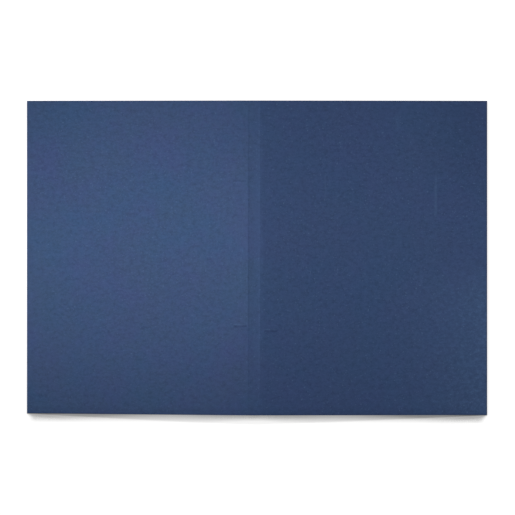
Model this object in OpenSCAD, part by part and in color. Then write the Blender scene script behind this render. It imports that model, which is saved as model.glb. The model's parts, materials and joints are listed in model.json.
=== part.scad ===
// Spiral folder: a card cover with two creases and a coil spring filing fastener inside.
// It lies open with its outside up: the spine is the ridge and the free edges touch the table.
// X runs across the open folder, Y from its foot to its head and Z up from the table.

/* [Cover] */
// Height of the folder from foot to head
folder_h = 311; // [240:1:380]
// Width of the back cover from its crease to its free edge
back_w = 219.5; // [170:0.5:270]
// Width of the front cover from its crease to its free edge
front_w = 224.5; // [170:0.5:270]
// Width of the spine between the two creases
spine_w = 12; // [10:0.5:40]
// Thickness of the card
card_t = 0.5; // [0.3:0.05:0.8]
// Gap between a cover's creased edge and the rounded edge of the spine
crease_gap = 0.1; // [0.05:0.05:0.2]
// Rise of the back cover's foot from the crease to its free edge
foot_rise = 1.7; // [0:0.1:4]

/* [Fastener] */
// Length of the steel strip
strip_len = 143; // [110:1:200]
// Width of the steel strip
strip_w = 12; // [8:0.5:20]
// Thickness of the steel strip
strip_t = 0.6; // [0.4:0.1:1.2]
// Corner radius of the steel strip
strip_corner_r = 1; // [0.5:0.5:3]
// Distance from the back crease to the strip's near edge
strip_inset = 2.5; // [2.5:0.5:12]
// Height of the fastener's middle above the folder's middle
fastener_rise = 4.3; // [-20:0.1:20]
// Width of the glued patch beyond each long edge of the strip
patch_side = 1.5; // [1:0.5:8]
// Length of the glued patch beyond each end of the strip
patch_end = 8; // [3:1:20]
// Thickness of the patch over the strip
patch_t = 0.4; // [0.3:0.1:0.8]
// Corner radius of the patch
patch_corner_r = 3; // [1:0.5:5]
// Room round the strip in the patch's pocket
pocket_gap = 0.1; // [0.05:0.05:0.3]

/* [Pegs] */
// Distance between the two pegs, the spacing of the punched holes
peg_centres = 80; // [60:1:100]
// Diameter of the riveted foot of a peg
spigot_d = 1.5; // [1:0.1:1.6]
// Room round the riveted foot in its hole
spigot_gap = 0.02; // [0.01:0.01:0.05]
// Room round a peg where it passes through the patch
peg_hole_gap = 0.2; // [0.1:0.05:0.4]
// Straight length of a peg past its bend
shank_len = 13; // [8:0.5:25]

/* [Spring] */
// Mean diameter of the coil
coil_d = 4.4; // [4.3:0.1:6]
// Diameter of the spring wire
wire_d = 1; // [0.7:0.05:1.1]
// Straight length of each leg of the loop
leg_len = 25; // [15:1:40]
// Number of whole turns in the coil
coil_turns = 90; // [70:1:92]
// Room between a peg and the turns of the coil round it
peg_gap = 0.38; // [0.3:0.01:0.6]
// Gap between the turns of the coil and the patch under them
patch_gap = 0.3; // [0.3:0.1:2]
// Gap between the bend of a peg and the first turn
spring_start = 1; // [0.5:0.1:3]
// Gap between the first turn and the peg's tip when the spring is pulled off
release_gap = 1; // [0.5:0.5:5]
// Gap between the table and the loop when the spring is pulled off
table_gap = 0.25; // [0.2:0.05:2]

/* [Hidden] */
$fn = 64;
card_blue = [0.25, 0.33, 0.47];
patch_blue = [0.30, 0.38, 0.52];
steel_grey = [0.72, 0.73, 0.75];

// A cover starts just past the rounded edge of the spine, whose centre is the fold axis
cover_start = card_t / 2 + crease_gap;

// The coil's section: its turns are drawn with straight runs, which leave a smaller clear bore
rings_per_turn = 8;
coil_outer_r = coil_d / 2 + wire_d / 2;
coil_bore_d = coil_d * cos(180 / rings_per_turn) - wire_d;

// A peg fits the coil's bore, and its bend carries the coil clear of the patch
peg_d = coil_bore_d - 2 * peg_gap;
elbow_r = coil_outer_r + patch_gap;

// Distances from the back crease, measured along the back cover
peg_u = strip_inset + strip_w / 2;
shank_u = peg_u + elbow_r;
tip_u = shank_u + shank_len + peg_d / 2;
spring_u = shank_u + spring_start;
loop_r = peg_centres / 2;
release_travel = tip_u + release_gap - spring_u;
loop_far_u = spring_u + leg_len + loop_r + coil_outer_r + release_travel;

// Depths below the inner face of the back cover
root_depth = strip_t + patch_t;
shank_depth = root_depth + elbow_r;
loop_depth = shank_depth + coil_outer_r;

// The ridge is as high as the pulled off loop needs to stay clear of the table
room_u = back_w - loop_far_u;
tilt_back = atan2(loop_depth, room_u) + asin(table_gap / norm([loop_depth, room_u]));
ridge_z = back_w * sin(tilt_back) + card_t / 2 * cos(tilt_back);
tilt_front = asin(ridge_z / norm([front_w, card_t / 2])) - atan2(card_t / 2, front_w);

// The middle of the open folder is at X = 0
back_reach = spine_w / 2 + back_w * cos(tilt_back) + card_t / 2 * sin(tilt_back);
front_reach = spine_w / 2 + front_w * cos(tilt_front) + card_t / 2 * sin(tilt_front);
spine_x = (back_reach - front_reach) / 2;
back_axis_x = spine_x - spine_w / 2;
front_axis_x = spine_x + spine_w / 2;

// The spring's wire: a helix round a loop of two straight legs and a half circle
loop_len = 2 * leg_len + PI * loop_r;
half_turn = 0.5;
wire_sides = 6;
helix_turns = coil_turns - half_turn;
helix_rings = round(helix_turns * rings_per_turn);

// The back cover's own frame: X is 0 at the crease and negative towards the free edge
module on_back_cover() {
    translate([back_axis_x, 0, ridge_z]) rotate([0, -tilt_back, 0]) children();
}

// The front cover's own frame: X is 0 at the crease and positive towards the free edge
module on_front_cover() {
    translate([front_axis_x, 0, ridge_z]) rotate([0, tilt_front, 0]) children();
}

// A place under the back cover, at a distance from the crease and a depth below the inner face
module under_back_cover(from_crease, up, depth) {
    on_back_cover() translate([-from_crease, up, -card_t / 2 - depth]) children();
}

// A plate with rounded corners, centred, with its underside at Z = 0
module rounded_plate(width, length, thick, corner_r) {
    linear_extrude(thick) {
        square([width - 2 * corner_r, length], center = true);
        square([width, length - 2 * corner_r], center = true);
        for (side = [-1, 1], end = [-1, 1])
            translate([side * (width / 2 - corner_r), end * (length / 2 - corner_r)]) circle(corner_r);
    }
}

// The heights of the two pegs
function peg_y(end) = fastener_rise + end * peg_centres / 2;

module back_cover() {
    outline = [[-cover_start, -folder_h / 2], [-cover_start, folder_h / 2],
               [-back_w, folder_h / 2], [-back_w, -folder_h / 2 + foot_rise]];
    color(card_blue)
        on_back_cover() translate([0, 0, -card_t / 2]) linear_extrude(card_t) polygon(outline);
}

module spine() {
    color(card_blue)
        translate([spine_x, folder_h / 2, ridge_z]) rotate([90, 0, 0]) linear_extrude(folder_h) {
            square([spine_w, card_t], center = true);
            for (side = [-1, 1])
                translate([side * spine_w / 2, 0]) circle(card_t / 2);
        }
}

module front_cover() {
    color(card_blue)
        on_front_cover() translate([cover_start, -folder_h / 2, -card_t / 2])
            cube([front_w - cover_start, folder_h, card_t]);
}

module fastener_strip() {
    color(steel_grey) difference() {
        under_back_cover(peg_u, fastener_rise, strip_t)
            rounded_plate(strip_w, strip_len, strip_t, strip_corner_r);
        for (end = [-1, 1])
            under_back_cover(peg_u, peg_y(end), 2 * strip_t)
                cylinder(h = 3 * strip_t, d = spigot_d + 2 * spigot_gap);
    }
}

module fastener_patch() {
    pocket_w = strip_w + 2 * pocket_gap;
    pocket_len = strip_len + 2 * pocket_gap;
    color(patch_blue) difference() {
        under_back_cover(peg_u, fastener_rise, root_depth)
            rounded_plate(strip_w + 2 * patch_side, strip_len + 2 * patch_end, root_depth, patch_corner_r);
        under_back_cover(peg_u, fastener_rise, strip_t)
            rounded_plate(pocket_w, pocket_len, 2 * strip_t, strip_corner_r + pocket_gap);
        for (end = [-1, 1])
            under_back_cover(peg_u, peg_y(end), 2 * root_depth)
                cylinder(h = 3 * root_depth, d = peg_d + 2 * peg_hole_gap);
    }
}

// A peg: a riveted foot in the strip, a bend away from the spine and a shank with a round tip
module peg(end) {
    color(steel_grey) {
        under_back_cover(peg_u, peg_y(end), strip_t) cylinder(h = strip_t, d = spigot_d);
        under_back_cover(peg_u, peg_y(end), root_depth) cylinder(h = patch_t, d = peg_d);
        under_back_cover(shank_u, peg_y(end), root_depth)
            rotate([90, 0, 0]) rotate([0, 0, -90])
                rotate_extrude(angle = 90) translate([elbow_r, 0]) circle(d = peg_d);
        under_back_cover(shank_u, peg_y(end), shank_depth) {
            rotate([0, -90, 0]) cylinder(h = shank_len, d = peg_d);
            translate([-shank_len, 0, 0]) sphere(d = peg_d);
        }
    }
}

module upper_peg() {
    peg(1);
}

module lower_peg() {
    peg(-1);
}

function unit(v) = v / norm(v);

// Degrees turned round the loop's bend after a length along it
function bend_angle(along) = min(max((along - leg_len) / loop_r * 180 / PI, 0), 180);

// Direction from the inside of the loop to its outside
function loop_out(along) = [-sin(bend_angle(along)), cos(bend_angle(along)), 0];

// Point on the middle line of the loop, measured from the spring's first turn
function loop_point(along) =
    let (before = min(along, leg_len))
    let (after = max(along - leg_len - PI * loop_r, 0))
    [-before + after, 0, 0] + loop_r * loop_out(along);

// Degrees turned round the loop's middle line, so that both ends point away from the cover
function helix_angle(ring) = 180 + 360 * ring / rings_per_turn;

function helix_out(ring) =
    let (along = loop_len * ring / helix_rings)
    cos(helix_angle(ring)) * loop_out(along) + sin(helix_angle(ring)) * [0, 0, -1];

function helix_point(ring) = loop_point(loop_len * ring / helix_rings) + coil_d / 2 * helix_out(ring);

// Direction of the wire, from two points close to the ring
function helix_along(ring) = unit(helix_point(ring + 0.01) - helix_point(ring - 0.01));

// Corners of the wire's section round a point
function wire_section(middle, along, out) =
    let (across = unit(cross(along, out)))
    [for (side = [0 : wire_sides - 1])
        middle + wire_d / 2 * (cos(360 * side / wire_sides) * cross(across, along)
                               + sin(360 * side / wire_sides) * across)];

// A straight end one wire diameter long, beyond the first or the last ring
function wire_end(ring, way) =
    wire_section(helix_point(ring) + way * wire_d * helix_along(ring), helix_along(ring), helix_out(ring));

function wire_side_faces(rings) =
    [for (ring = [0 : rings - 2], side = [0 : wire_sides - 1])
        let (next = (side + 1) % wire_sides)
        let (low = ring * wire_sides, high = low + wire_sides)
        each [[low + side, high + side, low + next], [low + next, high + side, high + next]]];

function wire_end_faces(last) =
    [for (side = [1 : wire_sides - 2])
        each [[0, side, side + 1], [last, last + side + 1, last + side]]];

// Least distance between turns of the wire, from its points, less the wire's own thickness
function least_gap(points) =
    min([for (near = [0 : len(points) - 1])
        for (far = [near + rings_per_turn - 2 : 1 : len(points) - 1]) norm(points[near] - points[far])])
    - wire_d;

module spiral_spring() {
    middles = [for (ring = [0 : helix_rings]) helix_point(ring)];
    sections = concat(
        [wire_end(0, -1)],
        [for (ring = [0 : helix_rings]) wire_section(middles[ring], helix_along(ring), helix_out(ring))],
        [wire_end(helix_rings, 1)]);
    rings = len(sections);
    echo("least gap of the spring to itself, in mm", least_gap(middles));
    color(steel_grey)
        under_back_cover(spring_u, fastener_rise, shank_depth)
            polyhedron(
                [for (section = sections) each section],
                concat(wire_side_faces(rings), wire_end_faces((rings - 1) * wire_sides)));
}

back_cover();
spine();
front_cover();
fastener_strip();
fastener_patch();
upper_peg();
lower_peg();
spiral_spring();
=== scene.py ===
# %% [markdown]
# A spiral folder lies open on a table, outside up. It is one sheet of blue manilla card with two pressed
# creases, and inside the back cover a coil spring loop holds the punched paper. The frame that is loaded
# here is the folder as it was constructed: its panels, its fastener and the places of its creases. This
# lesson dresses that frame: each piece but the steel strip is modelled again with the relief that light
# catches, and the strip keeps its shape with a new finish.

# %% Load the frame
import json
import math

import bpy
import numpy as np
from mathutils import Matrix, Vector


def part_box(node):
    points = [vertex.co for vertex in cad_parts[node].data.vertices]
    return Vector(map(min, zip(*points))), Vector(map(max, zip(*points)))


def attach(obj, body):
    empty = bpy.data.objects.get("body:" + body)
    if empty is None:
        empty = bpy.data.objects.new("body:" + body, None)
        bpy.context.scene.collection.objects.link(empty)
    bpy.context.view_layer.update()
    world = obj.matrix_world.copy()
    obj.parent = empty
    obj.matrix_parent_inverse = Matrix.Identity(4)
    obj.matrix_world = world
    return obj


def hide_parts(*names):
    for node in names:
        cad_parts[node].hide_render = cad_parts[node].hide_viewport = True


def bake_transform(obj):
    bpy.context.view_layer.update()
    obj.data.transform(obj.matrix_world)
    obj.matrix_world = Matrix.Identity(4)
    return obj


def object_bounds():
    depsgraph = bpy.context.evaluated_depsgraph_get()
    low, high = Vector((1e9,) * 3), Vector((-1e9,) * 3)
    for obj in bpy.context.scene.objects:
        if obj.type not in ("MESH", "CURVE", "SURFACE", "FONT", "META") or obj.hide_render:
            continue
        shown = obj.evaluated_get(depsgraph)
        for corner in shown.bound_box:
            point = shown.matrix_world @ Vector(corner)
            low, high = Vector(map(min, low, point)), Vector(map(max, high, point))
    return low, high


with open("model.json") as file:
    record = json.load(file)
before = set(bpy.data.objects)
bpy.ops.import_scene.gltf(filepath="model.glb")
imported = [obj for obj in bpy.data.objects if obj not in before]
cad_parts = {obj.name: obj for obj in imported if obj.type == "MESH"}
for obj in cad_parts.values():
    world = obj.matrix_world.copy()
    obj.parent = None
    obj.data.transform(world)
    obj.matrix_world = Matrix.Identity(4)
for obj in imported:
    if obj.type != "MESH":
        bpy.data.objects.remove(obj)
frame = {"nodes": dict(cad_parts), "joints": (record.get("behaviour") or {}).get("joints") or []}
cad_low, cad_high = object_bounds()
MM = 0.001
print("frame:", sorted(frame["nodes"]), "box", [round(v / MM, 2) for v in cad_high - cad_low], "mm")

# %% [markdown]
# Nothing here is measured twice. The creases are the two hinges of the frame, and a cover that closes
# turns until it stands square to the spine, so each hinge's range tells how far its cover slopes at rest.
# A length along a sloping cover is worked out from the box of its node.

# %% Read the folder's sizes from the frame
hinges = {joint["name"]: joint for joint in frame["joints"]}
back_axis = Vector(hinges["back_crease"]["pos_m"])
front_axis = Vector(hinges["front_crease"]["pos_m"])
back_slope = math.radians(90 - hinges["back_crease"]["range_deg"][1])
front_slope = math.radians(90 - hinges["front_crease"]["range_deg"][1])
ridge = back_axis.z

spine_low, spine_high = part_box("spine")
card_thick = spine_high.z - spine_low.z
foot, head = spine_low.y, spine_high.y
half_spine = (front_axis.x - back_axis.x) / 2
spine_middle = (front_axis.x + back_axis.x) / 2


def cover_width(reach, slope):
    """Length of a sloping cover from its crease to its free edge, from how far it reaches sideways."""
    return (reach - card_thick / 2 * math.sin(slope)) / math.cos(slope)


back_width = cover_width(back_axis.x - cad_low.x, back_slope)
front_width = cover_width(cad_high.x - front_axis.x, front_slope)
print("covers", round(back_width / MM, 2), round(front_width / MM, 2), "mm")
print("spine", round(2 * half_spine / MM, 2), "mm")

# %% [markdown]
# The fastener hangs under the back cover, so its sizes are read in that cover's own directions: how far
# from the crease, how high up the folder, and how deep below the inner face.

# %% Read the fastener's sizes in the back cover's directions
back_along = Vector((-math.cos(back_slope), 0, -math.sin(back_slope)))
back_out = Vector((-math.sin(back_slope), 0, math.cos(back_slope)))


def reach_under_back(node):
    """Least and greatest distance from the crease, height and depth of a node under the back cover."""
    places = []
    for vertex in frame["nodes"][node].data.vertices:
        offset = vertex.co - back_axis
        places.append((offset.dot(back_along), offset.y, -offset.dot(back_out) - card_thick / 2))
    return np.min(places, axis=0), np.max(places, axis=0)


strip_near, strip_far = reach_under_back("fastener_strip")
patch_near, patch_far = reach_under_back("fastener_patch")
peg_near, peg_far = reach_under_back("upper_peg")
lower_peg_far = reach_under_back("lower_peg")[1]
coil_near, coil_far = reach_under_back("spiral_spring")
peg_radius = (peg_far[1] - peg_near[1]) / 2
peg_from_crease = peg_near[0] + peg_radius
shank_depth = peg_far[2] - peg_radius
upper_peg_up = peg_far[1] - peg_radius
lower_peg_up = lower_peg_far[1] - peg_radius
fastener_up = (upper_peg_up + lower_peg_up) / 2
loop_radius = (upper_peg_up - lower_peg_up) / 2
coil_outer = (coil_far[2] - coil_near[2]) / 2
print("strip", np.round((strip_far - strip_near) / MM, 2), "mm")
print("peg", round(peg_radius * 2 / MM, 2), "mm thick, loop radius", round(loop_radius / MM, 2), "mm")

# %% [markdown]
# The camera looks straight down, as the photo does, from far enough away that the ridge at the spine
# looks no larger than the edges. The pixels where the folder starts and ends give the picture's scale and
# its shift.

# %% Camera
PHOTO_SIDE_PX = 515
LEFT_EDGE_PX, RIGHT_EDGE_PX = 27.0, 487.08
HEAD_EDGE_PX, FOOT_EDGE_PX = 100.85, 415.0
CAMERA_HEIGHT = 6.0

metres_per_px = (cad_high.x - cad_low.x) / (RIGHT_EDGE_PX - LEFT_EDGE_PX)
seen_side = PHOTO_SIDE_PX * metres_per_px
camera_data = bpy.data.cameras.new("camera")
camera_data.sensor_width = 36.0
camera_data.lens = camera_data.sensor_width * CAMERA_HEIGHT / seen_side
camera = bpy.data.objects.new("camera", camera_data)
bpy.context.scene.collection.objects.link(camera)
camera.location = (
    (cad_low.x + cad_high.x) / 2 + (PHOTO_SIDE_PX - LEFT_EDGE_PX - RIGHT_EDGE_PX) / 2 * metres_per_px,
    (foot + head) / 2 - (PHOTO_SIDE_PX - HEAD_EDGE_PX - FOOT_EDGE_PX) / 2 * metres_per_px,
    CAMERA_HEIGHT,
)
bpy.context.scene.camera = camera
print("picture scale", round(metres_per_px / MM, 4), "mm a pixel")

# %% [markdown]
# The sheet of card is described once, by two numbers: how far across the sheet a point lies from the
# middle of the spine, and how far up. Across the spine the sheet is level, and past each crease it
# follows its cover's slope. A solidified plane would give the same flat panels, but the pressed creases
# and marks need their own heights, so the sheet is built point by point, with columns and rows packed
# closely where something is pressed.

# %% Where the sheet lies
SHEET_STEP, LEAST_STEP = 4 * MM, 0.01 * MM

back_edge = -half_spine - back_width
front_edge = half_spine + front_width


def sheet_line(across):
    """Sideways place, height and outward direction of the card's middle, for distances across it."""
    past_back = np.maximum(-half_spine - across, 0)
    past_front = np.maximum(across - half_spine, 0)
    level = np.clip(across, -half_spine, half_spine)
    x = spine_middle + level - past_back * math.cos(back_slope) + past_front * math.cos(front_slope)
    z = ridge - past_back * math.sin(back_slope) - past_front * math.sin(front_slope)
    lean = np.where(past_back > 0, -back_slope, np.where(past_front > 0, front_slope, 0.0))
    return x, z, np.sin(lean), np.cos(lean)


def packed_line(low, high, step, fine_places):
    """Distances from low to high: a coarse step everywhere, and closer ones round each fine place."""
    coarse = np.linspace(low, high, round((high - low) / step) + 1)
    lines = [coarse[[0, -1]]]
    remaining = coarse
    for centre, reach, fine_step in fine_places:
        lines.append(centre + np.linspace(-reach, reach, round(2 * reach / fine_step) + 1))
        remaining = remaining[np.abs(remaining - centre) > reach + fine_step]
    line = np.unique(np.clip(np.round(np.concatenate(lines + [remaining]), 6), low, high))
    return line[np.append(np.diff(line) > LEAST_STEP, True)]


print("sheet from", round(back_edge / MM, 2), "to", round(front_edge / MM, 2), "mm across")

# %% [markdown]
# What is pressed into the card is relief. At the back crease the spine steps down a little. It bows up
# again to a bead at the front crease, and a second score beside that bead takes a share of the fold. Both
# creases were pressed harder in the middle than at the head and foot. A bump in the finish would do for
# the picture, but a pressed line catches the light from every side only if the card really stands up
# there.

# %% What the creases press into the card
SPINE_DROP, DROP_HALF = 0.045 * MM, 0.5 * MM
SPINE_CURVE = 0.13 * MM
BEAD_LIFT, BEAD_WIDTH = 0.03 * MM, 1.6 * MM
FIRST_SCORE, SECOND_SCORE = half_spine - 0.95 * MM, half_spine + 2.15 * MM
FOLD_DIP, SECOND_LIFT, SECOND_FADE = 0.032 * MM, 0.025 * MM, 60 * MM
PRESS_FADE, PRESS_KEPT = 60 * MM, 0.45


def ease(value, low, high):
    """Rises smoothly from 0 at low to 1 at high."""
    share = np.clip((value - low) / (high - low), 0, 1)
    return share * share * (3 - 2 * share)


def bow(value, low, high):
    """Rises ever more steeply from 0 at low to 1 at high."""
    return np.clip((value - low) / (high - low), 0, 1) ** 2


def pressed_share(up):
    """How hard the creases were pressed, up the folder."""
    from_end = np.minimum(up - foot, head - up)
    return PRESS_KEPT + (1 - PRESS_KEPT) * ease(from_end, 0, PRESS_FADE)


def crease_relief(across, up):
    """Height of the card at and between the creases, above its plain level."""
    drop = SPINE_DROP * ease(across, -half_spine - DROP_HALF, -half_spine + DROP_HALF)
    curve = SPINE_CURVE * bow(across, -half_spine, FIRST_SCORE)
    bead = BEAD_LIFT * bow(across, FIRST_SCORE - BEAD_WIDTH, FIRST_SCORE)
    fold = np.interp(across, (FIRST_SCORE, half_spine, SECOND_SCORE), (0, -FOLD_DIP, SECOND_LIFT))
    settled = np.exp(-(np.maximum(across - SECOND_SCORE, 0) / SECOND_FADE) ** 2)
    return pressed_share(up) * settled * (curve + bead + fold - drop)


print("bead", round(crease_relief(FIRST_SCORE, (foot + head) / 2) / MM, 3), "mm high")

# %% [markdown]
# Card never lies quite flat: a cover bulges a little where it leaves its crease. The steel strip inside
# keeps the back cover straight along its length, so that cover bulges only past the strip's two ends. A
# bulge is less than a millimetre, but a low lamp shades the cover by it.

# %% How the card has warped
BACK_BULGE, BACK_BULGE_SIZE = 0.9 * MM, 90 * MM
FRONT_BULGE, FRONT_BULGE_SIZE = 0.38 * MM, 62 * MM
BULGE_FROM, BULGE_FULL = -5 * MM, 35 * MM


def bulge(from_crease, size):
    """Rises at once from nothing at the crease to one a size away, and settles slowly beyond."""
    return from_crease / size * np.exp(1 - from_crease / size)


def warp(across, up):
    """Height of the bulges beside the two creases."""
    past_back, past_front = np.maximum(-half_spine - across, 0), np.maximum(across - half_spine, 0)
    past_strip = np.maximum(up - strip_far[1], strip_near[1] - up)
    back_share = ease(past_strip, BULGE_FROM, BULGE_FULL) * (1 - past_back / back_width)
    back_bulge = BACK_BULGE * back_share * bulge(past_back, BACK_BULGE_SIZE)
    return back_bulge + FRONT_BULGE * bulge(past_front, FRONT_BULGE_SIZE)


print("front bulge", round(warp(half_spine + FRONT_BULGE_SIZE, (foot + head) / 2) / MM, 3), "mm high")

# %% [markdown]
# The steel strip inside has pressed its two ends through the back cover: a groove at the upper end, and a
# ridge that drops away below at the lower end. The lower end has also marked the front cover, when the
# folder was closed.

# %% What the strip presses into the card
MARK_INSET, MARK_END = 0.9 * MM, 0.8 * MM
MARK_LIFT, MARK_ABOVE, MARK_BELOW = 0.16 * MM, 0.8 * MM, 2.0 * MM
UPPER_MARK_SHARE, FRONT_MARK_SHARE = 0.8, 1.05
FRONT_MARK_DROP, FRONT_MARK_SHIFT = 5.0 * MM, 1.1 * MM

back_mark = (-half_spine - strip_far[0], -half_spine - strip_near[0])
front_mark = (half_spine + strip_near[0] + FRONT_MARK_SHIFT, half_spine + strip_far[0] + FRONT_MARK_SHIFT)
RIDGE, GROOVE = 1, -1
# Each mark's two ends across the sheet, its height, the way it stands and how hard it was pressed.
pressed_marks = (
    (back_mark, strip_far[1] - MARK_INSET, GROOVE, UPPER_MARK_SHARE),
    (back_mark, strip_near[1] + MARK_INSET, RIDGE, 1.0),
    (front_mark, strip_near[1] + MARK_INSET - FRONT_MARK_DROP, RIDGE, FRONT_MARK_SHARE),
)


def hump(value, centre, width):
    """One at the centre and almost nothing two widths away."""
    return np.exp(-((value - centre) / width) ** 2)


def mark_inside(across, start, end):
    """One along a mark and nothing past its two ends."""
    return ease(across, start - MARK_END, start) * (1 - ease(across, end, end + MARK_END))


def mark_relief(across, up):
    """Height of the strip's pressed marks. A groove is a ridge turned upside down and back to front."""
    height = np.zeros(across.shape)
    for (start, end), mark_up, facing, share in pressed_marks:
        beside = facing * (up - mark_up)
        width = np.where(beside > 0, MARK_ABOVE, MARK_BELOW)
        height += facing * share * MARK_LIFT * mark_inside(across, start, end) * hump(beside, 0, width)
    return height


print("marks at heights of", [round(row[1] / MM, 1) for row in pressed_marks], "mm")

# %% [markdown]
# Each point also keeps how much paler or darker its colour is drawn. Beside each pressed mark a painted
# highlight lies on the side that faces the lamp above the head, and painted shade lies on the other side.
# There is painted shade in the step at the back crease, a painted highlight along the bead at the front
# crease, and painted shade along the foot. The front cover is paler along the lower half of its free edge,
# and both covers are a little darker towards their upper corners.

# %% Painted light and tones on the card
# A painted highlight and painted shade on the two sides of each strip mark, and at the two creases.
PALE_LINE, PALE_SHARE = (0.5 * MM, 0.5 * MM), 0.8
DARK_LINE, DARK_SHARE = (-1.1 * MM, 1.2 * MM), 0.85
CREASE_DARK, CREASE_DARK_SHARE = (-half_spine, 0.45 * MM), 0.12
CREASE_PALE, CREASE_PALE_SHARE = (FIRST_SCORE - 0.35 * MM, 0.4 * MM), 0.3
# Paler along the lower half of the front cover's free edge.
LIGHTENED_SHARE, LIGHTENED_WIDTH = 0.95, 130 * MM
LIGHTENED_FULL, LIGHTENED_NONE = foot + 110 * MM, foot + 165 * MM
# Darker towards the upper corners of both covers.
DARKENED_FAR, DARKENED_NEAR = 80 * MM, 10 * MM
DARKENED_NONE, DARKENED_FULL = head - 135 * MM, head - 50 * MM
FRONT_DARKENED_SHARE, BACK_DARKENED_SHARE = 0.5, 0.25
# Painted shade along the foot.
FOOT_SHADE, FOOT_SHADE_SHARE = (foot, 5.5 * MM), 0.5


def painted_light_and_tone(across, up):
    """How much paler (above zero) or darker (below zero) the card is drawn, painted highlight and shade
    included.
    """
    # Painted shade in the step at the back crease, and a painted highlight along the bead at the front
    # crease.
    light_and_tone = CREASE_PALE_SHARE * hump(across, *CREASE_PALE) - CREASE_DARK_SHARE * hump(across, *CREASE_DARK)
    light_and_tone = light_and_tone * pressed_share(up)
    for (start, end), mark_up, facing, share in pressed_marks:
        beside = facing * (up - mark_up)
        # A painted highlight on the side of the mark that faces the lamp above the head, and painted shade
        # on the other side.
        line = PALE_SHARE * hump(beside, *PALE_LINE) - DARK_SHARE * hump(beside, *DARK_LINE)
        light_and_tone = light_and_tone + share * mark_inside(across, start, end) * line
    # Paler towards the lower half of the front cover's free edge.
    lightened = bow(across, front_edge - LIGHTENED_WIDTH, front_edge) * (1 - ease(up, LIGHTENED_FULL, LIGHTENED_NONE))
    # Darker towards the upper corners.
    front_darkened = FRONT_DARKENED_SHARE * ease(across, front_edge - DARKENED_FAR, front_edge - DARKENED_NEAR)
    back_darkened = BACK_DARKENED_SHARE * ease(-across, -back_edge - DARKENED_FAR, -back_edge - DARKENED_NEAR)
    darkened = (front_darkened + back_darkened) * ease(up, DARKENED_NONE, DARKENED_FULL)
    # Paler along the lower front edge, darker towards the upper corners, and painted shade along the foot.
    return light_and_tone + LIGHTENED_SHARE * lightened - darkened - FOOT_SHADE_SHARE * hump(up, *FOOT_SHADE)


print("worn at the thumbed edge", round(painted_light_and_tone(front_edge, LIGHTENED_FULL), 2))

# %% [markdown]
# A sheet of card is a closed body: an outer face, an inner face and the cut edges between them. Its two
# faces share one grid, so its faces can be listed from the number of rows and columns alone.

# %% Closed sheets
def sheet_faces(rows, columns):
    """Faces of a closed sheet whose outer grid comes first and inner grid second."""
    place = np.arange(2 * rows * columns).reshape(2, rows, columns)
    outer, inner = place
    faces = []
    for row in range(rows - 1):
        for column in range(columns - 1):
            corners = (row, column), (row, column + 1), (row + 1, column + 1), (row + 1, column)
            faces.append([outer[corner] for corner in corners])
            faces.append([inner[corner] for corner in reversed(corners)])
    rim = [(0, c) for c in range(columns)] + [(r, columns - 1) for r in range(1, rows)]
    rim += [(rows - 1, c) for c in range(columns - 2, -1, -1)] + [(r, 0) for r in range(rows - 2, 0, -1)]
    for this, following in zip(rim, rim[1:] + rim[:1]):
        faces.append([outer[this], inner[this], inner[following], outer[following]])
    return faces


def store(mesh, name, kind, values):
    """Keeps a value for each point of a mesh, for its finish to read."""
    attribute = mesh.attributes.new(name, kind, "POINT")
    key = "vector" if kind == "FLOAT_VECTOR" else "value"
    attribute.data.foreach_set(key, np.asarray(values, np.float32).ravel())


def add_piece(name, points, faces, smooth=True):
    """A mesh object of these points and faces, in the scene."""
    mesh = bpy.data.meshes.new(name)
    mesh.from_pydata([tuple(point) for point in points], [], faces)
    mesh.polygons.foreach_set("use_smooth", [smooth] * len(mesh.polygons))
    mesh.update()
    piece = bpy.data.objects.new(name, mesh)
    bpy.context.scene.collection.objects.link(piece)
    return piece


# %% [markdown]
# The cut edge is rounded over a little, as the edge of a much-used card is. Each point also remembers its
# place on the flat sheet, how near the cut edge it lies, and how much paler or darker it is drawn, painted
# highlight and shade included. The finish is drawn from these, and not from the point's place in the room,
# so that it stays on the card when a cover folds.

# %% Build a half of the card
CUT_ROUND = 0.12 * MM
CUT_STEPS = (0.15 * MM, 0.5 * MM, 1.0 * MM, 2.0 * MM)
RIM_WIDTH = 0.9 * MM
FOOT_TRIM_REACH = 60 * MM
PRESSED_FINE = (4 * MM, 0.25 * MM)
SHARP_FROM = math.radians(60)

back_foot_edge = min(
    vertex.co.y for vertex in frame["nodes"]["back_cover"].data.vertices if vertex.co.x < cad_low.x + MM
)
foot_trim = back_foot_edge - foot


def up_on_sheet(across, up):
    """Heights up the folder, with the back cover's foot trimmed to rise towards its free edge."""
    trim = foot_trim * np.maximum(-half_spine - across, 0) / back_width
    return up + trim * np.clip(1 - (up - foot) / FOOT_TRIM_REACH, 0, 1)


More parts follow.
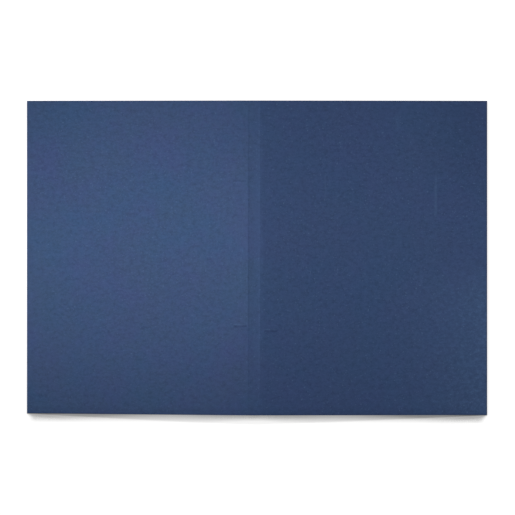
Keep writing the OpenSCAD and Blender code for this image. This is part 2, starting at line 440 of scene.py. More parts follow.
def card_half(name, crease, mark, free_edge):
    """A closed half of the card, from the middle of the spine to a cover's free edge."""
    start, end = mark
    mark_fine = ((start + end) / 2, (end - start) / 2 + 2 * MARK_END, MARK_END / 2)
    across_line = packed_line(*sorted((0, free_edge)), SHEET_STEP, [(crease, *PRESSED_FINE), mark_fine])
    beside_edge = [free_edge - math.copysign(step, free_edge) for step in CUT_STEPS]
    across_line = np.unique(np.concatenate([across_line, beside_edge]))
    up_line = packed_line(foot, head, SHEET_STEP, [(row[1], *PRESSED_FINE) for row in pressed_marks])
    up_line = np.unique(np.concatenate([up_line] + [[foot + step, head - step] for step in CUT_STEPS]))
    across, up = np.meshgrid(across_line, up_line)
    x, z, out_x, out_z = sheet_line(across)
    height = warp(across, up) + crease_relief(across, up) + mark_relief(across, up)
    from_edge = np.minimum.reduce([np.abs(across - free_edge), up - foot, head - up])
    level = card_thick / 2 - np.where(from_edge < CUT_STEPS[0] / 2, CUT_ROUND, 0)
    y = up_on_sheet(across, up)
    points = []
    places = []
    for side in (1, -1):
        offset = height + side * level
        points.append(np.stack([x + out_x * offset, y, z + out_z * offset], axis=-1).reshape(-1, 3))
        face_depth = np.full_like(across, side * card_thick)
        places.append(np.stack([across, up, face_depth], axis=-1).reshape(-1, 3))
    piece = add_piece(name, np.concatenate(points), sheet_faces(*across.shape))
    store(piece.data, "card_place", "FLOAT_VECTOR", np.concatenate(places))
    rim = hump(from_edge, 0, RIM_WIDTH).ravel()
    store(piece.data, "rim", "FLOAT", np.concatenate([rim, rim]))
    # The outer face keeps the painted highlight and shade and the paler and darker tones; the inner face
    # keeps none.
    light_and_tone = painted_light_and_tone(across, up).ravel()
    store(piece.data, "light_and_tone", "FLOAT", np.concatenate([light_and_tone, np.zeros_like(light_and_tone)]))
    piece.data.set_sharp_from_angle(angle=SHARP_FROM)
    print(name, len(piece.data.vertices), "points")
    return piece


# %% [markdown]
# The real card is one sheet, and a mesh can bend across one crease at a time. So the sheet is made as two
# halves that meet in the middle of the spine.

back_card = card_half("back_card", -half_spine, back_mark, back_edge)
front_card = card_half("front_card", half_spine, front_mark, front_edge)

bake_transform(back_card)
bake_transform(front_card)
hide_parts("back_cover", "spine")
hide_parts("front_cover")

# %% [markdown]
# A finish is a tree of nodes. A few small helpers keep each tree short to read: one puts a node in, one
# feeds a socket with either a number or another node's output, and the rest are steps of arithmetic and
# mixing.

# %% Helpers: nodes and arithmetic
def put(tree, kind, **settings):
    """A new node of a kind, with its own settings."""
    node = tree.nodes.new("ShaderNode" + kind)
    for name, value in settings.items():
        setattr(node, name, value)
    return node


def feed(tree, socket, source):
    """Gives a socket either a link from another node or a plain value."""
    if isinstance(source, bpy.types.NodeSocket):
        tree.links.new(source, socket)
    else:
        socket.default_value = source


def calc(tree, operation, *values, clamp=False):
    """One step of arithmetic on values or sockets."""
    node = put(tree, "Math", operation=operation, use_clamp=clamp)
    for socket, value in zip(node.inputs, values):
        feed(tree, socket, value)
    return node.outputs[0]


def times(tree, product, *others, clamp=False):
    """Values or sockets multiplied together."""
    for other in others:
        product = calc(tree, "MULTIPLY", product, other, clamp=clamp)
    return product


def apart(tree, first, second):
    """How far two values lie apart."""
    return calc(tree, "ABSOLUTE", calc(tree, "SUBTRACT", first, second))


def fade(tree, value, low, high, from_share=0.0, to_share=1.0):
    """Goes smoothly from one share to another while a value goes from low to high."""
    node = put(tree, "MapRange", interpolation_type="SMOOTHSTEP")
    for socket, source in zip(node.inputs, (value, low, high, from_share, to_share)):
        feed(tree, socket, source)
    return node.outputs[0]


def tint(tree, share, low, high, kind="MIX"):
    """Mixes two colours by a share."""
    node = put(tree, "Mix", data_type="RGBA", blend_type=kind)
    feed(tree, node.inputs[0], share)
    feed(tree, node.inputs[6], low)
    feed(tree, node.inputs[7], high)
    return node.outputs[2]


# %% [markdown]
# A pattern is drawn on a place: where the point lies on its object, or a place that the mesh keeps for
# each point, such as the one on the flat sheet. Noise gives soft patches there. A place that is squeezed
# first gives patches that are longer one way.

# %% Helpers: patterns on a place
def kept(tree, name):
    """A value that each point of the mesh keeps."""
    return put(tree, "Attribute", attribute_name=name)


def cloud(tree, place, size, detail=2.0, roughness=0.5):
    """Soft random patches about this size, from 0 to 1."""
    node = put(tree, "TexNoise")
    feed(tree, node.inputs["Vector"], place)
    feed(tree, node.inputs["Scale"], 1 / size)
    feed(tree, node.inputs["Detail"], detail)
    feed(tree, node.inputs["Roughness"], roughness)
    return node.outputs[0]


def stretch(tree, place, shares):
    """A place squeezed by a share along each direction, so that what is drawn on it comes out longer."""
    node = put(tree, "VectorMath", operation="MULTIPLY")
    feed(tree, node.inputs[0], place)
    feed(tree, node.inputs[1], shares)
    return node.outputs[0]


def parts_of(tree, place):
    """The three parts of a place, as outputs named X, Y and Z."""
    node = put(tree, "SeparateXYZ")
    feed(tree, node.inputs[0], place)
    return node.outputs


# %% [markdown]
# An effect that finishes share, or that is placed more than once or worth a name of its own, is a group:
# a tree with named inputs and outputs. It is built once, and each finish places it with its own values.
# The shader stays in the finish. Colours are written here as they look on a screen, and one helper turns
# them into the linear light that shaders use.

# %% Helpers: effects and finishes
def effect(name, inputs, outputs):
    """A new node group, with its input and output nodes."""
    group = bpy.data.node_groups.new(name, "ShaderNodeTree")
    for label, kind in inputs:
        group.interface.new_socket(label, in_out="INPUT", socket_type="NodeSocket" + kind)
    for label in outputs:
        group.interface.new_socket(label, in_out="OUTPUT", socket_type="NodeSocketFloat")
    print("effect:", name, "puts out", outputs)
    return group, group.nodes.new("NodeGroupInput").outputs, group.nodes.new("NodeGroupOutput").inputs


def use(tree, group, **values):
    """Places an effect in a finish, feeds its inputs and returns its outputs."""
    node = put(tree, "Group", node_tree=group)
    for label, value in values.items():
        feed(tree, node.inputs[label], value)
    return node.outputs


def new_finish(name):
    """A material with its tree and its main shader."""
    finish = bpy.data.materials.new(name)
    finish.use_nodes = True
    return finish, finish.node_tree, finish.node_tree.nodes["Principled BSDF"]


def paint(rgb):
    """A colour as it looks on a screen, from 0 to 255, as the linear colour that shaders use."""
    shares = [value / 255 for value in rgb]
    linear = [s / 12.92 if s <= 0.04045 else ((s + 0.055) / 1.055) ** 2.4 for s in shares]
    return (*linear, 1.0)


# %% [markdown]
# Manilla card is felted fibre, dyed in the pulp. Close to, it shows short fibres and pale specks. From a
# step away the dye drifts between a violet blue and a greener one in soft patches, and between a clear
# blue and a greyer one in others. Both covers of the folder and the patch inside it are card, so this is
# one effect, and each finish chooses its own colours for it.

# %% Effect: card fibres
DRIFT_SIZE, GREY_SIZE, GRAIN_SIZE, FIBRE_SIZE, SPECK_SIZE = 0.085, 0.060, 0.0045, 0.0007, 0.0014
FIBRE_SQUEEZE = (1.0, 0.45, 1.0)
GRAIN_SQUEEZE = (0.8, 1.0, 1.0)
GREY_SQUEEZE = (-0.8, 1.0, 1.0)
DRIFT_FROM, DRIFT_FULL = 0.36, 0.64
SPECK_FROM, SPECK_FULL = 0.72, 0.86

card_fibres, given, made = effect(
    "card_fibres", [("Place", "Vector")], ["Drift", "Grey", "Grain", "Fibre", "Speck"]
)
tree, place = card_fibres, given["Place"]
drift = cloud(tree, place, DRIFT_SIZE, detail=6.0, roughness=0.75)
feed(tree, made["Drift"], fade(tree, drift, DRIFT_FROM, DRIFT_FULL))
grey = cloud(tree, stretch(tree, place, GREY_SQUEEZE), GREY_SIZE, detail=6.0, roughness=0.8)
feed(tree, made["Grey"], fade(tree, grey, DRIFT_FROM, DRIFT_FULL))
grain = cloud(tree, stretch(tree, place, GRAIN_SQUEEZE), GRAIN_SIZE, detail=3.0, roughness=1.0)
feed(tree, made["Grain"], grain)
fibre = cloud(tree, stretch(tree, place, FIBRE_SQUEEZE), FIBRE_SIZE, detail=3.0, roughness=0.6)
feed(tree, made["Fibre"], fibre)
speck = cloud(tree, place, SPECK_SIZE, detail=0.0)
feed(tree, made["Speck"], fade(tree, speck, SPECK_FROM, SPECK_FULL))

# %% [markdown]
# Along a cut edge the card is squeezed and its dye looks darker, in a line that breaks here and there
# where the edge has been rubbed.

# %% Effect: cut edge
EDGE_BREAK_SIZE, EDGE_BREAK_FROM, EDGE_BREAK_FULL, EDGE_KEPT = 0.012, 0.25, 0.6, 0.6

cut_edge, given, made = effect("cut_edge", [("Rim", "Float"), ("Place", "Vector")], ["Mask"])
patches = cloud(cut_edge, given["Place"], EDGE_BREAK_SIZE)
broken = fade(cut_edge, patches, EDGE_BREAK_FROM, EDGE_BREAK_FULL, EDGE_KEPT, 1.0)
feed(cut_edge, made["Mask"], times(cut_edge, given["Rim"], broken, clamp=True))

# %% [markdown]
# A few straight scuffs run up the front cover, where something has dragged along its outside. Each is a
# soft pale line of its own place, length and width, broken by the grain of the card.

# %% Effect: scuff
SCUFF_BREAK_SIZE, SCUFF_BREAK_FROM, SCUFF_BREAK_FULL, SCUFF_KEPT = 0.003, 0.3, 0.6, 0.3
TAPER_FROM = 0.6

scuff, given, made = effect(
    "scuff",
    [("Place", "Vector"), ("Across", "Float"), ("Low", "Float"), ("High", "Float"), ("Width", "Float")],
    ["Mask"],
)
parts = parts_of(scuff, given["Place"])
aside = apart(scuff, parts["X"], given["Across"])
line = fade(scuff, aside, 0.0, given["Width"], 1.0, 0.0)
middle = times(scuff, calc(scuff, "ADD", given["Low"], given["High"]), 0.5)
reach = times(scuff, calc(scuff, "SUBTRACT", given["High"], given["Low"]), 0.5)
off_middle = apart(scuff, parts["Y"], middle)
length = fade(scuff, calc(scuff, "DIVIDE", off_middle, reach), TAPER_FROM, 1.0, 1.0, 0.0)
patches = cloud(scuff, given["Place"], SCUFF_BREAK_SIZE)
broken = fade(scuff, patches, SCUFF_BREAK_FROM, SCUFF_BREAK_FULL, SCUFF_KEPT, 1.0)
outside = fade(scuff, parts["Z"], -card_thick, card_thick)
feed(scuff, made["Mask"], times(scuff, line, length, broken, outside))

# %% [markdown]
# Both cards show their fibres in the same way. The grain lightens and darkens the colour a little, and
# specks are paler. The fibres also stand up as a very low bump, which is too fine to model, and make the
# card a little rougher or smoother from place to place.

# %% How card shows its fibres
SPECK_BLUE, GRAIN_CONTRAST = paint((86, 112, 148)), 0.85
CARD_ROUGH, CARD_SMOOTH, CARD_GLOSS = 0.92, 0.8, 0.15
SMOOTH_FROM, SMOOTH_FULL = 0.3, 0.7
FIBRE_BUMP, FIBRE_HEIGHT = 0.5, 0.0002


def grained(tree, colour, fibres, speck_share):
    """A colour made lighter and darker by the grain, with pale specks on it."""
    tone = calc(tree, "MULTIPLY_ADD", fibres["Grain"], GRAIN_CONTRAST, 1 - GRAIN_CONTRAST / 2)
    colour = tint(tree, 1.0, colour, tone, kind="MULTIPLY")
    return tint(tree, times(tree, fibres["Speck"], speck_share), colour, SPECK_BLUE)


def card_surface(tree, shader, fibres, colour):
    """Gives a shader the colour of a card, and the card's fibres as roughness and as a low bump."""
    feed(tree, shader.inputs["Base Color"], colour)
    rough = fade(tree, fibres["Fibre"], SMOOTH_FROM, SMOOTH_FULL, CARD_ROUGH, CARD_SMOOTH)
    feed(tree, shader.inputs["Roughness"], rough)
    bump = put(tree, "Bump")
    feed(tree, bump.inputs["Strength"], FIBRE_BUMP)
    feed(tree, bump.inputs["Distance"], FIBRE_HEIGHT)
    feed(tree, bump.inputs["Height"], calc(tree, "ADD", fibres["Fibre"], fibres["Grain"]))
    feed(tree, shader.inputs["Normal"], bump.outputs[0])
    shader.inputs["Specular IOR Level"].default_value = CARD_GLOSS


# %% [markdown]
# The blue card itself. Its colour drifts between its blues, on the front cover less than on the back one.
# It is paler under a painted highlight and darker under painted shade, and paler or darker in its other
# tones. That comes before the grain, so these places still show their fibres. Scuffs are paler, and the
# cut edge is darker.

# %% Finish: blue card
VIOLET_BLUE, GREEN_BLUE, GREY_BLUE = paint((57, 72, 114)), paint((50, 75, 112)), paint((54, 74, 105))
# The dark blue also gives painted shade, and the pale blue gives painted highlight as well as scuffs.
DARK_BLUE, PALE_BLUE, EDGE_BLUE = paint((41, 58, 93)), paint((67, 91, 129)), paint((22, 34, 70))
GREY_SHARE, EDGE_SHARE, LIGHT_AND_TONE_SHARE = 0.6, 0.35, 0.6
BACK_SPECK_SHARE, FRONT_SPECK_SHARE = 0.32, 0.48
# How far the grain breaks up the paler mix, painted highlight included.
PALING_FROM, PALING_FULL, PALING_LEAST, PALING_MOST = 0.4, 0.75, 0.75, 1.5
FRONT_DRIFT = 0.5
# Each scuff's place across the sheet, its low and high end, its width and its share.
SCUFFS = (
    (0.1795, 0.0380, 0.0850, 0.0021, 0.65),
    (0.0700, 0.0560, 0.0840, 0.0014, 0.4),
    (0.1415, 0.1240, 0.1450, 0.0040, 0.3),
)

blue_card, tree, shader = new_finish("blue_card")
card_place = kept(tree, "card_place").outputs["Vector"]
fibres = use(tree, card_fibres, Place=card_place)
across = parts_of(tree, card_place)["X"]
drifted = fade(tree, across, -half_spine, half_spine, 1.0, FRONT_DRIFT)
# A weaker drift stays round the middle of its two blues.
evened = calc(tree, "MULTIPLY_ADD", drifted, -0.5, 0.5)
colour = tint(tree, calc(tree, "MULTIPLY_ADD", fibres["Drift"], drifted, evened), VIOLET_BLUE, GREEN_BLUE)
grey_share = times(tree, fibres["Grey"], drifted, GREY_SHARE)
colour = tint(tree, grey_share, colour, GREY_BLUE)
light_and_tone = kept(tree, "light_and_tone").outputs["Fac"]
# Painted highlight and paler tones mix towards the pale blue, broken by the grain.
highlight_and_paling = times(tree, light_and_tone, fade(tree, fibres["Grain"], PALING_FROM, PALING_FULL, PALING_LEAST, PALING_MOST))
colour = tint(tree, times(tree, highlight_and_paling, LIGHT_AND_TONE_SHARE, clamp=True), colour, PALE_BLUE)
# Painted shade and darker tones mix towards the dark blue.
colour = tint(tree, times(tree, light_and_tone, -LIGHT_AND_TONE_SHARE, clamp=True), colour, DARK_BLUE)
speck_share = fade(tree, across, -half_spine, half_spine, BACK_SPECK_SHARE, FRONT_SPECK_SHARE)
colour = grained(tree, colour, fibres, speck_share)
for scuff_across, low, high, width, share in SCUFFS:
    mask = use(tree, scuff, Place=card_place, Across=scuff_across, Low=low, High=high, Width=width)["Mask"]
    colour = tint(tree, times(tree, mask, share), colour, PALE_BLUE)
edge_mask = use(tree, cut_edge, Rim=kept(tree, "rim").outputs["Fac"], Place=card_place)["Mask"]
colour = tint(tree, times(tree, edge_mask, EDGE_SHARE), colour, EDGE_BLUE)
card_surface(tree, shader, fibres, colour)
for piece in (back_card, front_card):
    piece.data.materials.append(blue_card)
print("finish:", blue_card.name, len(tree.nodes), "nodes")

# %% [markdown]
# Inside the back cover, a narrow patch of card is glued over a steel strip. A plate with square sides
# would do for the shape, but real card follows what is under it. So the patch is a thin sheet that rises
# over the strip and comes down to the cover round it, with round corners.

# %% The patch over the strip
PATCH_CORNER, PATCH_EASE = 3 * MM, 1.2 * MM
PATCH_STEP, PATCH_END_FINE = 2 * MM, (12 * MM, 0.4 * MM)
PATCH_SIDE_STEP, PATCH_SIDE_FINE = 0.1, (0.25, 0.03)
GLUE_DEPTH, AT_EDGE = 0.03 * MM, 1e-6

patch_thick = patch_far[2] - strip_far[2]
patch_middle = (patch_near + patch_far) / 2
patch_half = (patch_far - patch_near) / 2
strip_half = (strip_far - strip_near) / 2


def under_back_points(from_crease, up, depth):
    """Points under the back cover, for arrays of distances, heights and depths."""
    origin, along, out = (np.array(vector) for vector in (back_axis, back_along, back_out))
    level = -card_thick / 2 - depth
    points = origin + from_crease[..., None] * along + level[..., None] * out
    points[..., 1] += up
    return points


def patch_sheet():
    """The patch as a closed sheet, without its holes."""
    ends, sides = (-patch_half[1], patch_half[1]), (-1, 1)
    up = packed_line(*ends, PATCH_STEP, [(end, *PATCH_END_FINE) for end in ends])
    aside = packed_line(*sides, PATCH_SIDE_STEP, [(side, *PATCH_SIDE_FINE) for side in sides])
    into_corner = np.clip(np.abs(up) - (patch_half[1] - PATCH_CORNER), 0, PATCH_CORNER)
    row_half = patch_half[0] - PATCH_CORNER + np.sqrt(PATCH_CORNER ** 2 - into_corner ** 2)
    share, heights = np.meshgrid(aside, up)
    across = share * row_half[:, None]
    off_side = np.maximum(np.abs(across) - strip_half[0] - CUT_ROUND, 0)
    off_end = np.maximum(np.abs(heights) - strip_half[1] - CUT_ROUND, 0)
    raised = strip_far[2] * (1 - ease(np.hypot(off_side, off_end), 0, PATCH_EASE)) - GLUE_DEPTH
    at_edge = np.minimum(1 - np.abs(share), patch_half[1] - np.abs(heights)) < AT_EDGE
    outer_depth = raised + patch_thick - np.where(at_edge, CUT_ROUND, 0)
    points = []
    for depth in (raised, outer_depth):
        face = under_back_points(patch_middle[0] + across, patch_middle[1] + heights, depth)
        points.append(face.reshape(-1, 3))
    faces = [face[::-1] for face in sheet_faces(*across.shape)]
    return add_piece("fastener_patch_card", np.concatenate(points), faces)


patch = patch_sheet()
print(patch.name, len(patch.data.vertices), "points before its holes are cut")

# %% [markdown]
# The pegs come out through two round holes in the patch. The holes are cut last, with a boolean, because
# a hole cut through a finished sheet follows the sheet.

# %% The holes in the patch
HOLE_ROOM, HOLE_SIDES, PATCH_SHARP_FROM = 0.2 * MM, 48, math.radians(40)


def peg_hole(up):
    """A round cutter through the patch where a peg comes out."""
    turns = np.arange(HOLE_SIDES) * 2 * math.pi / HOLE_SIDES
    radius = peg_radius + HOLE_ROOM
    from_crease, ring_up = peg_from_crease + radius * np.cos(turns), up + radius * np.sin(turns)
    rings = [
        under_back_points(from_crease, ring_up, np.full(HOLE_SIDES, depth))
        for depth in (-card_thick, 2 * patch_far[2])
    ]
    around = list(range(HOLE_SIDES))
    walls = [[i, (i + 1) % HOLE_SIDES, (i + 1) % HOLE_SIDES + HOLE_SIDES, i + HOLE_SIDES] for i in around]
    ends = [around[::-1], [i + HOLE_SIDES for i in around]]
    return add_piece("peg_hole", np.concatenate(rings), walls + ends, smooth=False)


def cut(piece, cutter):
    """Cuts one mesh out of another and removes the cutter."""
    boolean = piece.modifiers.new("cut", "BOOLEAN")
    boolean.operation = "DIFFERENCE"
    boolean.solver = "EXACT"
    boolean.object = cutter
    shape = bpy.data.meshes.new_from_object(piece.evaluated_get(bpy.context.evaluated_depsgraph_get()))
    piece.modifiers.remove(boolean)
    piece.data = shape
    bpy.data.objects.remove(cutter)


for peg_up in (upper_peg_up, lower_peg_up):
    cut(patch, peg_hole(peg_up))
patch.data.set_sharp_from_angle(angle=PATCH_SHARP_FROM)
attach(patch, "back")
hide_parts("fastener_patch")
print(patch.name, len(patch.data.vertices), "points")

# %% [markdown]
# A peg is bent steel wire: a thin riveted foot in the strip, a bend, and a shank with a round tip that
# points away from the spine. The spring is wire too, wound into a coil. Both are one round section
# carried along a line, so one function makes either. It takes the section's two directions at each ring,
# because a wound wire would twist if they were left to chance.

# %% Wire carried along a line
def wire_piece(name, middles, firsts, seconds, radii, sides):
    """A closed round wire: rings of points round each middle, joined along its length and capped."""
    turns = np.arange(sides) * 2 * math.pi / sides
    first_share, second_share = np.cos(turns)[None, :, None], np.sin(turns)[None, :, None]
    spread = first_share * firsts[:, None] + second_share * seconds[:, None]
    points = (middles[:, None] + radii[:, None, None] * spread).reshape(-1, 3)
    place = np.arange(len(points)).reshape(-1, sides)
    following = np.roll(place, -1, axis=1)
    walls = np.stack([place[:-1], following[:-1], following[1:], place[1:]], axis=-1).reshape(-1, 4)
    piece = add_piece(name, points, walls.tolist() + [place[0][::-1].tolist(), place[-1].tolist()])
    run = np.concatenate([[0], np.cumsum(np.linalg.norm(np.diff(middles, axis=0), axis=1))])
    along = np.repeat(run, sides)
    round_it = np.tile(turns, len(middles)) * np.repeat(radii, sides)
    wire_place = np.stack([along, round_it, np.zeros_like(along)], axis=-1)
    store(piece.data, "wire_place", "FLOAT_VECTOR", wire_place)
    print(name, len(points), "points")
    return piece


# %% [markdown]
# The peg's line has four stretches: foot, root, bend and shank. The tip is drawn in along a quarter
# circle, which gives it a round end.

# %% The two pegs
FOOT_RADIUS, BEND_RINGS, TIP_RINGS, PEG_SIDES = 0.75 * MM, 12, 7, 24
TIP_TURN, PEG_SHARP_FROM = 0.97 * math.pi / 2, math.radians(50)

bend_radius = shank_depth - patch_far[2]
tip_from_crease = peg_far[0]


def peg_rings():
    """Distance from the crease, depth, heading and radius at each ring of a peg."""
    rings = [(peg_from_crease, depth, 0.0, FOOT_RADIUS) for depth in (0.0, strip_far[2])]
    rings += [(peg_from_crease, strip_far[2], 0.0, peg_radius)]
    for turn in np.linspace(0, math.pi / 2, BEND_RINGS):
        from_crease = peg_from_crease + bend_radius * (1 - math.cos(turn))
        rings.append((from_crease, patch_far[2] + bend_radius * math.sin(turn), turn, peg_radius))
    for turn in np.linspace(0, TIP_TURN, TIP_RINGS):
        from_crease = tip_from_crease - peg_radius * (1 - math.sin(turn))
        rings.append((from_crease, shank_depth, math.pi / 2, peg_radius * math.cos(turn)))
    return np.array(rings)


def make_peg(node, up):
    """A peg at a height up the folder, in place of its node."""
    from_crease, depth, heading, radii = peg_rings().T
    middles = under_back_points(from_crease, np.full(len(radii), up), depth)
    along, out = np.array(back_along), np.array(back_out)
    firsts = np.cos(heading)[:, None] * along + np.sin(heading)[:, None] * out
    seconds = np.tile([0.0, 1.0, 0.0], (len(radii), 1))
    peg = wire_piece(node + "_wire", middles, firsts, seconds, radii, PEG_SIDES)
    peg.data.set_sharp_from_angle(angle=PEG_SHARP_FROM)
    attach(peg, "back")
    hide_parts(node)
    return peg


pegs = [make_peg("upper_peg", upper_peg_up), make_peg("lower_peg", lower_peg_up)]

# %% [markdown]
# The spring is a close coil bent into a loop: two straight legs and a half circle. Its wire follows a
# helix round the loop's middle line. The turns lie a quarter of a wire apart, and the ends push over the
# pegs.

# %% The spring
WIRE_RADIUS, SPRING_TURNS, RINGS_A_TURN, WIRE_SIDES = 0.5 * MM, 139.5, 20, 10
TURN_STEP, END_SHARE = 0.001, 0.7

coil_radius = coil_outer - WIRE_RADIUS
spring_start = coil_near[0] + WIRE_RADIUS
leg = coil_far[0] - coil_outer - loop_radius - spring_start
loop_run = 2 * leg + math.pi * loop_radius


def loop_line(run):
    """Distance from the crease, height and outward direction along the loop's middle line."""
    bend = np.clip((run - leg) / loop_radius, 0, math.pi)
    straight = np.minimum(run, leg) - np.maximum(run - leg - math.pi * loop_radius, 0)
    from_crease = spring_start + straight + loop_radius * np.sin(bend)
    return from_crease, fastener_up + loop_radius * np.cos(bend), np.sin(bend), np.cos(bend)


def coil_point(turn):
    """Points of the wire's middle line, for a number of turns from the first end."""
    from_crease, up, out_along, out_up = loop_line(loop_run * turn / SPRING_TURNS)
    swing = math.pi + 2 * math.pi * turn
    aside = coil_radius * np.cos(swing)
    return under_back_points(
        from_crease + aside * out_along, up + aside * out_up, shank_depth + coil_radius * np.sin(swing)
    )


def centre_point(turn):
    """Points of the loop's middle line, for the same numbers of turns."""
    from_crease, up = loop_line(loop_run * turn / SPRING_TURNS)[:2]
    return under_back_points(from_crease, up, np.full_like(turn, shank_depth))


def unit(vectors):
    """Vectors of length one in the same directions."""
    return vectors / np.linalg.norm(vectors, axis=1, keepdims=True)


turn = np.linspace(0, SPRING_TURNS, round(SPRING_TURNS * RINGS_A_TURN) + 1)
middles = coil_point(turn)
outward = middles - centre_point(turn)
heading = unit(coil_point(turn + TURN_STEP) - coil_point(turn - TURN_STEP))
seconds = unit(np.cross(heading, outward))
radii = np.full(len(turn), WIRE_RADIUS)
radii[[0, -1]] *= END_SHARE
spring = wire_piece("spring_wire", middles, np.cross(seconds, heading), seconds, radii, WIRE_SIDES)
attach(spring, "spring")
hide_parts("spiral_spring")
print("loop", round(loop_run / MM, 1), "mm long,", SPRING_TURNS, "turns")

# %% [markdown]
# The patch is a lighter sheet of the same kind of card, so its finish uses the same fibres with other
# colours.

# %% Finish: patch card
PATCH_VIOLET, PATCH_GREEN, PATCH_GREY = paint((70, 86, 126)), paint((66, 92, 124)), paint((78, 94, 124))

patch_card, tree, shader = new_finish("patch_card")
object_place = put(tree, "TexCoord").outputs["Object"]
fibres = use(tree, card_fibres, Place=object_place)
colour = tint(tree, fibres["Drift"], PATCH_VIOLET, PATCH_GREEN)
colour = tint(tree, times(tree, fibres["Grey"], GREY_SHARE), colour, PATCH_GREY)
card_surface(tree, shader, fibres, grained(tree, colour, fibres, BACK_SPECK_SHARE))
patch.data.materials.clear()
patch.data.materials.append(patch_card)
print("finish:", patch_card.name)

# %% [markdown]
# Steel shows how it was made. Rolled strip and drawn wire both carry fine lines along their length, and
# handling leaves dull smudges. One effect draws both, and each steel piece sets how long its lines are.

# %% Effect: drawn steel
LINE_SIZE, SMUDGE_SIZE = 0.0002, 0.006
SMUDGE_FROM, SMUDGE_FULL = 0.35, 0.7

drawn_steel, given, made = effect(
    "drawn_steel", [("Place", "Vector"), ("Squeeze", "Vector")], ["Line", "Smudge"]
)
line_place = stretch(drawn_steel, given["Place"], given["Squeeze"])
feed(drawn_steel, made["Line"], cloud(drawn_steel, line_place, LINE_SIZE, detail=1.0))
smudge = cloud(drawn_steel, given["Place"], SMUDGE_SIZE, detail=3.0, roughness=0.6)
feed(drawn_steel, made["Smudge"], fade(drawn_steel, smudge, SMUDGE_FROM, SMUDGE_FULL))

# %% [markdown]
# The strip is dull, the pegs are polished by the spring that is pushed over them, and the spring lies
# between the two. Lines run up the strip and along the wire of the pegs and the spring.

# %% Finishes: strip, pegs and spring
LINE_FROM, LINE_FULL, LINE_DARK, LINE_ROUGH = 0.3, 0.7, 0.88, 0.06
UP_THE_STRIP, ALONG_THE_WIRE = (1.0, 0.03, 1.0), (0.04, 1.0, 1.0)
# Each steel's clean and dull colour, its least and most roughness, and the squeeze that draws its lines.
STEEL_FINISHES = {
    "strip_steel": ((176, 178, 181), (142, 143, 145), 0.34, 0.52, UP_THE_STRIP),
    "peg_steel": ((205, 206, 208), (168, 169, 172), 0.18, 0.36, ALONG_THE_WIRE),
    "spring_steel": ((196, 197, 200), (150, 151, 155), 0.22, 0.42, ALONG_THE_WIRE),
}

strip = frame["nodes"]["fastener_strip"]
strip.data.materials.clear()
steel_pieces = {"strip_steel": [strip], "peg_steel": pegs, "spring_steel": [spring]}
for name, (clean, dull, least_rough, most_rough, squeeze) in STEEL_FINISHES.items():
    finish, tree, shader = new_finish(name)
    if name == "strip_steel":
        place = put(tree, "TexCoord").outputs["Object"]
    else:
        place = kept(tree, "wire_place").outputs["Vector"]
    steel = use(tree, drawn_steel, Place=place, Squeeze=squeeze)
    colour = tint(tree, steel["Smudge"], paint(clean), paint(dull))
    line_dark = fade(tree, steel["Line"], LINE_FROM, LINE_FULL, LINE_DARK, 1.0)
    feed(tree, shader.inputs["Base Color"], tint(tree, 1.0, colour, line_dark, kind="MULTIPLY"))
    rough = fade(tree, steel["Smudge"], 0.0, 1.0, least_rough, most_rough)
    line_rough = times(tree, steel["Line"], LINE_ROUGH)
    feed(tree, shader.inputs["Roughness"], calc(tree, "ADD", rough, line_rough))
    shader.inputs["Metallic"].default_value = 1.0
    for piece in steel_pieces[name]:
        piece.data.materials.append(finish)
    print("finish:", finish.name, [piece.name for piece in steel_pieces[name]])

# %% [markdown]
# The folder lies on a white table, a plain sheet that takes shadows. The camera, and what metal mirrors,
# also see a little light from the table itself, which makes the background white. Lamplight that bounces
# doesn't.

# %% The table
TABLE_SIDE, TABLE_DROP = 30.0, 0.02 * MM
CORNERS = ((-1, -1), (1, -1), (1, 1), (-1, 1))

table_points = [(x * TABLE_SIDE / 2, y * TABLE_SIDE / 2, cad_low.z - TABLE_DROP) for x, y in CORNERS]
table = add_piece("table", table_points, [[0, 1, 2, 3]], smooth=False)
print(table.name, TABLE_SIDE, "m wide")


def seen_share(tree):
    """One where the camera, a reflection or a look through glass asks, and zero where light bounces."""
    path = put(tree, "LightPath").outputs
    mirrored = calc(tree, "MAXIMUM", path["Is Glossy Ray"], path["Is Transmission Ray"])
    return calc(tree, "MAXIMUM", path["Is Camera Ray"], mirrored)


# %% [markdown]
# A glow would wash the shadow out, so it is held back wherever the folder stands between the table and
# the lamp above the head. Along the foot the card hangs higher the nearer it is to the ridge. The reach
# and the depth of the shadow follow that height, so it is a soft band of nearly even width.

# %% Finish: white table
TABLE_WHITE, LIGHT_WHITE = (0.45, 0.45, 0.45, 1.0), (1.0, 1.0, 1.0, 1.0)
NEAR_GLOW, FAR_GLOW = 0.82, 1.0
FAR_FROM, FAR_FULL = 12 * MM, 300 * MM
EDGE_REACH, RIDGE_REACH = 8.7 * MM, 13.9 * MM
SHADOW_SAMPLES, EDGE_LEAST, RIDGE_LEAST = 32, 0.15, 0.25
LEAST_FROM, LEAST_FULL = 0.8, 0.95
SIDE_DEPTH, FOOT_DEPTH, DEPTH_RISE, DEPTH_MIDDLE = 2.0, 3.2, 135.0, 0.52
CORNER_FADE, FOOT_UNDER, FOOT_PAST = 10 * MM, foot + 1 * MM, foot + 3 * MM
TO_HEAD_LAMP = (0.0, 0.95, 0.31)

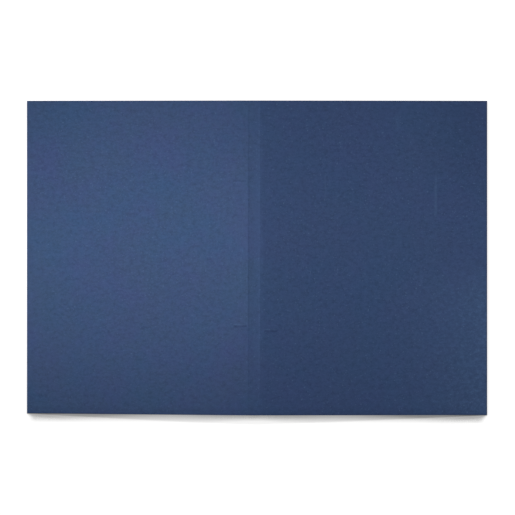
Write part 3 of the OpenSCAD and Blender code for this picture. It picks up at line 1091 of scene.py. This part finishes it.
table_finish, tree, shader = new_finish("white_table")
shader.inputs["Base Color"].default_value = TABLE_WHITE
shader.inputs["Roughness"].default_value = 1.0
shader.inputs["Specular IOR Level"].default_value = 0.0
parts = parts_of(tree, put(tree, "TexCoord").outputs["Object"])
off_side = calc(tree, "SUBTRACT", calc(tree, "ABSOLUTE", parts["X"]), cad_high.x)
off_end = calc(tree, "SUBTRACT", calc(tree, "ABSOLUTE", parts["Y"]), head)
glow = fade(tree, calc(tree, "MAXIMUM", off_side, off_end), FAR_FROM, FAR_FULL, NEAR_GLOW, FAR_GLOW)
to_lamp = put(tree, "CombineXYZ")
for socket, share in zip(to_lamp.inputs, TO_HEAD_LAMP):
    feed(tree, socket, share)
clear_sky = put(tree, "AmbientOcclusion", samples=SHADOW_SAMPLES)
off_ridge = apart(tree, parts["X"], spine_middle)
share_out = calc(tree, "DIVIDE", off_ridge, cad_high.x, clamp=True)
squared = calc(tree, "POWER", share_out, 2.0)
reach = calc(tree, "MULTIPLY_ADD", squared, EDGE_REACH - RIDGE_REACH, RIDGE_REACH)
feed(tree, clear_sky.inputs["Distance"], reach)
feed(tree, clear_sky.inputs["Normal"], to_lamp.outputs[0])
off_middle = apart(tree, share_out, DEPTH_MIDDLE)
cubed = calc(tree, "POWER", off_middle, 3.0)
foot_depth = calc(tree, "MULTIPLY_ADD", cubed, DEPTH_RISE, FOOT_DEPTH)
depth = fade(tree, off_side, -CORNER_FADE, 0.0, foot_depth, SIDE_DEPTH)
depth = fade(tree, parts["Y"], FOOT_UNDER, FOOT_PAST, depth, SIDE_DEPTH)
least = fade(tree, share_out, LEAST_FROM, LEAST_FULL, RIDGE_LEAST, EDGE_LEAST)
held_back = calc(tree, "MAXIMUM", calc(tree, "POWER", clear_sky.outputs["AO"], depth), least)
shader.inputs["Emission Color"].default_value = LIGHT_WHITE
feed(tree, shader.inputs["Emission Strength"], times(tree, glow, held_back, seen_share(tree)))
table.data.materials.append(table_finish)
print("finish:", table_finish.name, len(tree.nodes), "nodes")

# %% [markdown]
# The world is the same white to the camera, and a weak fill light to everything else.

# %% World
FILL_STRENGTH = 0.08

world = bpy.data.worlds.new("studio")
bpy.context.scene.world = world
world.use_nodes = True
tree = world.node_tree
background = tree.nodes["Background"]
background.inputs["Color"].default_value = LIGHT_WHITE
feed(tree, background.inputs["Strength"], fade(tree, seen_share(tree), 0.0, 1.0, FILL_STRENGTH, 1.0))
print("world:", world.name, "fill", FILL_STRENGTH)

# %% [markdown]
# Two soft boxes light the folder. The first is low on the left and grazes the card, so the left cover,
# which leans towards it, is brighter than the right one, and the creases show. It has a grid in front,
# which keeps its light near the middle of the folder's height. The second is above the head, so the foot
# throws a soft shadow on the table.

# %% Lamps
NEUTRAL_LIGHT, WARM_LIGHT = (1.0, 1.0, 1.0), (1.0, 0.97, 0.9)


def soft_box(name, aim, turn, rise, distance, size, watts, spread, colour=NEUTRAL_LIGHT):
    """A soft lamp that looks at a point of the folder, from a turn round it, a rise and a distance."""
    lamp = bpy.data.lights.new(name, "AREA")
    lamp.shape = "RECTANGLE"
    lamp.size, lamp.size_y = size
    lamp.color = colour
    lamp.energy = watts
    lamp.spread = math.radians(spread)
    box = bpy.data.objects.new(name, lamp)
    flat = distance * math.cos(math.radians(rise))
    back = Vector((flat * math.cos(math.radians(turn)), flat * math.sin(math.radians(turn)), 0))
    back.z = distance * math.sin(math.radians(rise))
    box.location = Vector(aim) + back
    box.rotation_euler = (-back).to_track_quat("-Z", "Y").to_euler()
    bpy.context.scene.collection.objects.link(box)
    return box


side_box = soft_box(
    "side_box", aim=(0.15, 0.027, 0.0), turn=180, rise=8, distance=2.25, size=(0.3, 0.15),
    watts=0.69, spread=10, colour=WARM_LIGHT,
)
head_box = soft_box(
    "head_box", aim=(0.0, 0.03, 0.0), turn=90, rise=54, distance=6.0, size=(1.4, 0.8),
    watts=209.0, spread=180,
)
bpy.context.scene.view_settings.view_transform = "Standard"
print("lamps:", side_box.name, head_box.name)
